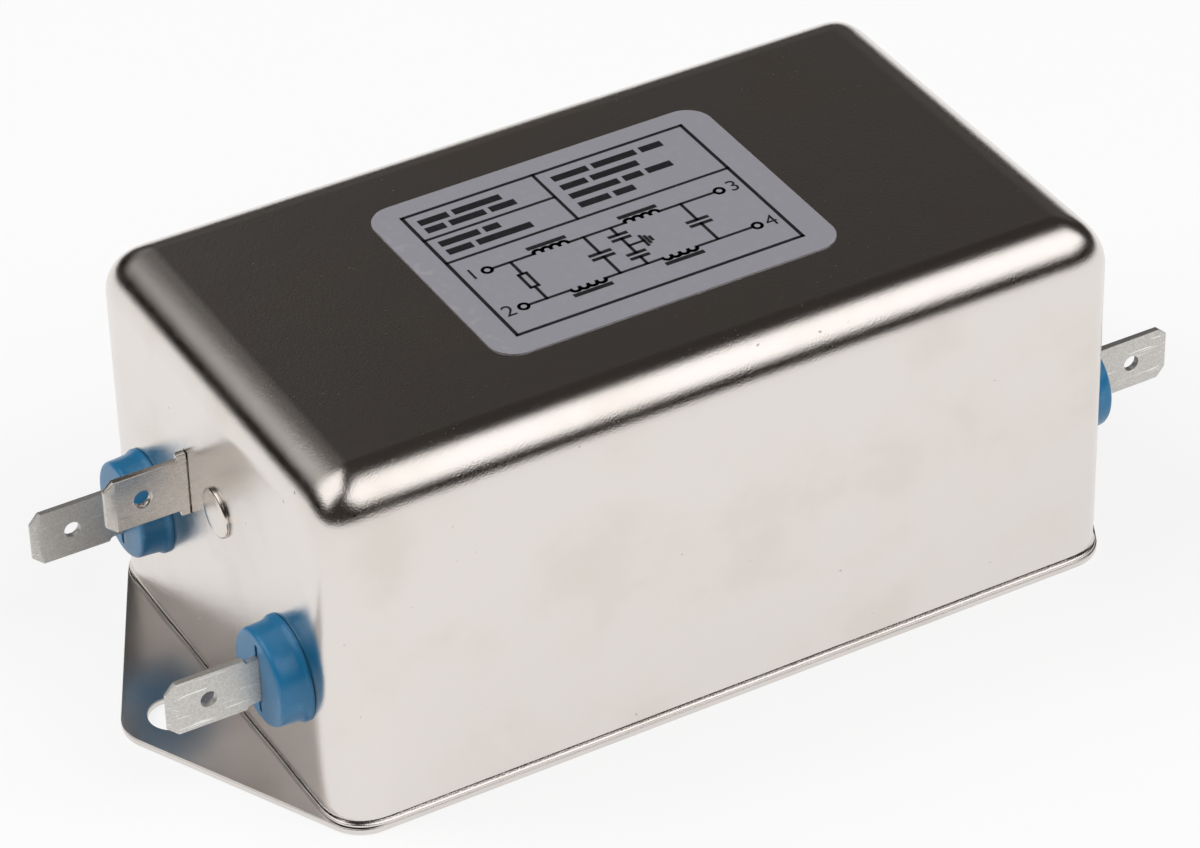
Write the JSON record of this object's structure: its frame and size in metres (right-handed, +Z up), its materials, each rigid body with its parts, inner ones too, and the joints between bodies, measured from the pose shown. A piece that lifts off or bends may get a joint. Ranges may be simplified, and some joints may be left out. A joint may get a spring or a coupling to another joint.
{
  "type": "power line filter",
  "caption": "Metal-can mains filter with push-on blade terminals in blue insulating bushings, an earth blade, a blank type label and two drilled mounting ears.",
  "frame": {"origin": "underside of the base plate, at the middle of the line between the two ear holes", "axes": "+X towards the load end, so the line end with the earth blade is -X; +Y across the case; +Z up from the base plate to the label"},
  "size_m": [0.12, 0.0542, 0.0426],
  "materials": {
    "plated_can": "bright plated deep-drawn steel with a fine orange-peel grain",
    "plated_base": "plated sheet steel, rolled grain",
    "label_film": "printed silver film",
    "blue_plastic": "moulded, lightly glossy",
    "tinned_brass": "tin plated, satin",
    "nickel_brass": "nickel plated, bright",
    "nickel_rivet": "nickel plated, bright",
    "green_yellow_wire": "insulated stranded wire",
    "ferrite": "sintered, dull",
    "ivory_plastic": "moulded",
    "enamelled_copper": "enamelled copper wire",
    "yellow_box": "moulded box, resin filled",
    "blue_box": "moulded box, resin filled",
    "resistor_body": "lacquered",
    "fish_paper": "pressed paper sheet",
    "dark_resin": "cast resin"
  },
  "bodies": {
    "root": {"case_can": "plated_can", "base_plate": "plated_base", "type_label": "label_film", "line_bushing_1": "blue_plastic", "line_bushing_2": "blue_plastic", "load_bushing_1": "blue_plastic", "load_bushing_2": "blue_plastic", "line_tab_1": "tinned_brass", "line_tab_2": "tinned_brass", "load_tab_1": "tinned_brass", "load_tab_2": "tinned_brass", "earth_tab": "nickel_brass", "earth_rivet": "nickel_rivet", "earth_wire": "green_yellow_wire", "ferrite_ring_1": "ferrite", "ferrite_ring_2": "ferrite", "ring_case_1": "ivory_plastic", "ring_case_2": "ivory_plastic", "ring_lid_1": "ivory_plastic", "ring_lid_2": "ivory_plastic", "ring_divider_1": "ivory_plastic", "ring_divider_2": "ivory_plastic", "winding_1a": "enamelled_copper", "winding_1b": "enamelled_copper", "winding_2a": "enamelled_copper", "winding_2b": "enamelled_copper", "x_capacitor_1": "yellow_box", "x_capacitor_2": "yellow_box", "y_capacitor_1": "blue_box", "y_capacitor_2": "blue_box", "discharge_resistor": "resistor_body", "insulating_sheet": "fish_paper", "casting_resin": "dark_resin"}
  },
  "joints": []
}
